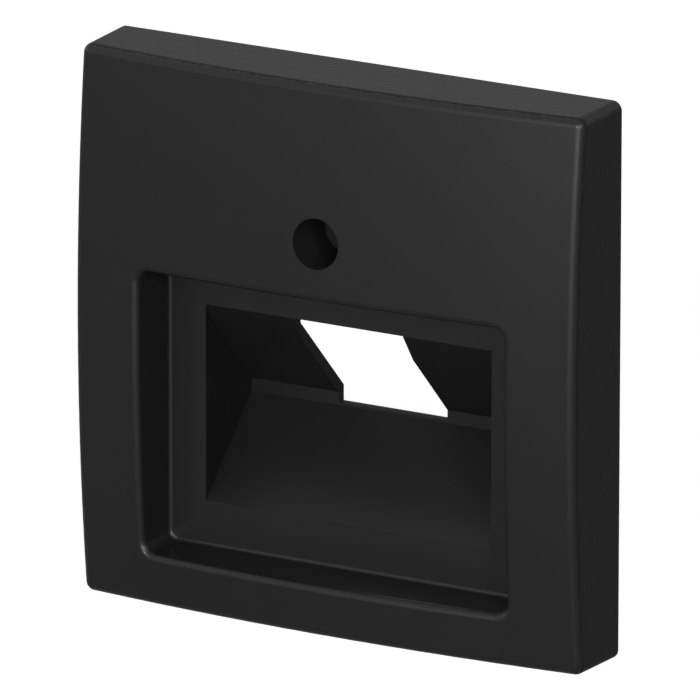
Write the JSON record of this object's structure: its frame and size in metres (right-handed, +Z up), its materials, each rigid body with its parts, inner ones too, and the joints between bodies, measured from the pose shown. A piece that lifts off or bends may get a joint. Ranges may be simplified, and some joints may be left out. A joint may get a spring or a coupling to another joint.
{
  "type": "outlet cover plate",
  "caption": "Square domed cover plate with a deep skirt, a recessed pocket with a slanted chute for a data jack, and a recessed screw hole.",
  "frame": {"origin": "middle of the plane of the rear rim, where the plate meets its carrier", "axes": "+Z up, +X to the right seen from the front, +Y into the wall, so the front face looks along -Y"},
  "size_m": [0.063, 0.0185, 0.063],
  "materials": {
    "shell": "matt black moulded plastic with a fine grain"
  },
  "bodies": {
    "root": {"faceplate": "shell"}
  },
  "joints": []
}
